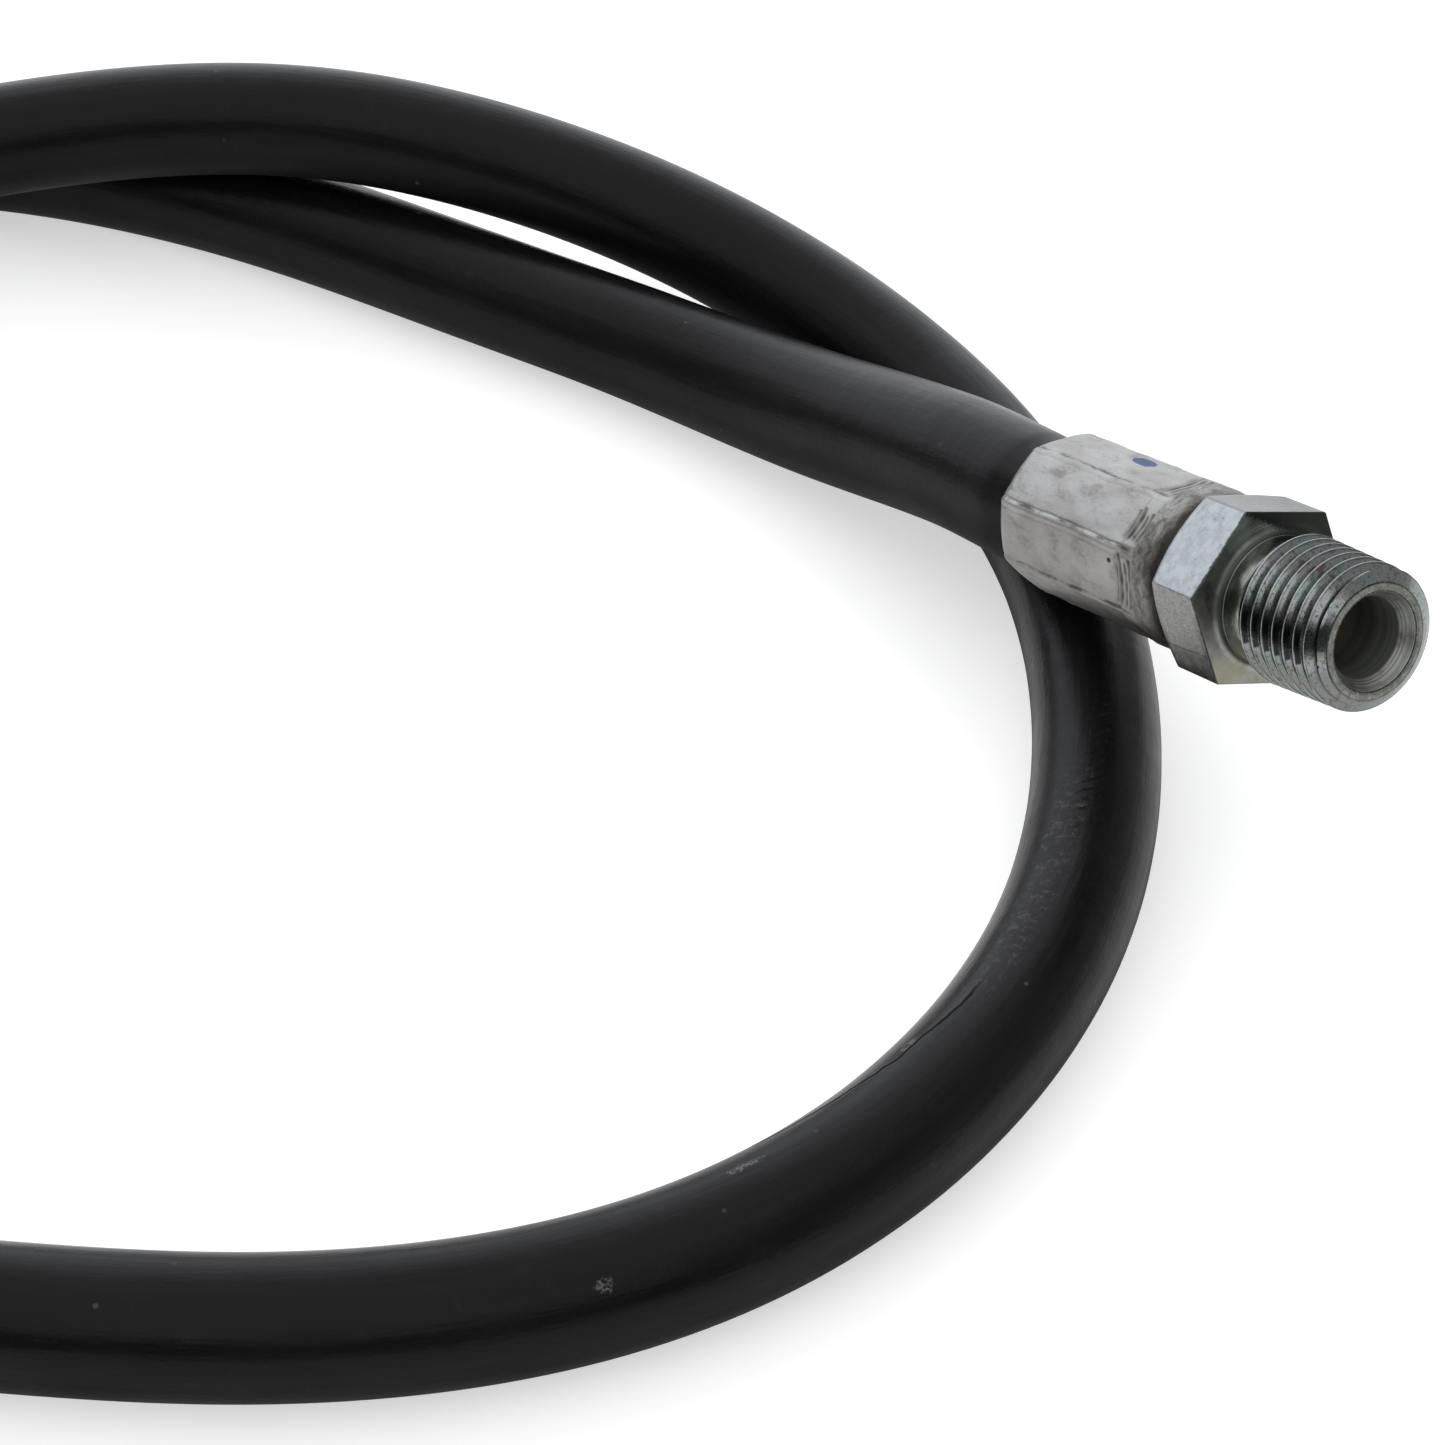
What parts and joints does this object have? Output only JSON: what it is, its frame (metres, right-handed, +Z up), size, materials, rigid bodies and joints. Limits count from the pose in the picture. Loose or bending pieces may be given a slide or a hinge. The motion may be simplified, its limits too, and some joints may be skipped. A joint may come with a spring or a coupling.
{
  "type": "hydraulic hose assembly",
  "caption": "Flexible black hydraulic hose lying in a loose loop, with a crimped steel ferrule and a rigid male taper-threaded pipe stem with wrench hex on each end.",
  "frame": {"origin": "centre of the sealing face of end A's threaded stem", "axes": "+Z up from the floor that the hose lies on, which is 34 mm below the origin; +X the way end A points, seen from above (its axis rises 17.5 degrees from +X); +Y to the left of end A's direction; end B points mostly along -Y, turned 27 degrees towards -X and tilted up 10 degrees"},
  "size_m": [0.2386, 0.2353, 0.0399],
  "materials": {
    "stem_steel": "zinc-plated, satin",
    "ferrule_steel": "zinc-plated, dull, crimped",
    "hose_cover": "wrap-cured, matt satin",
    "inner_tube": "smooth",
    "wire_braid": "drawn wire"
  },
  "bodies": {
    "root": {"stem_a": "stem_steel", "ferrule_a": "ferrule_steel", "inner_tube_end_a": "inner_tube", "wire_braid_end_a": "wire_braid", "cover_end_a": "hose_cover", "hose_run": "hose_cover", "cover_end_b": "hose_cover", "wire_braid_end_b": "wire_braid", "inner_tube_end_b": "inner_tube", "ferrule_b": "ferrule_steel", "stem_b": "stem_steel"}
  },
  "joints": []
}
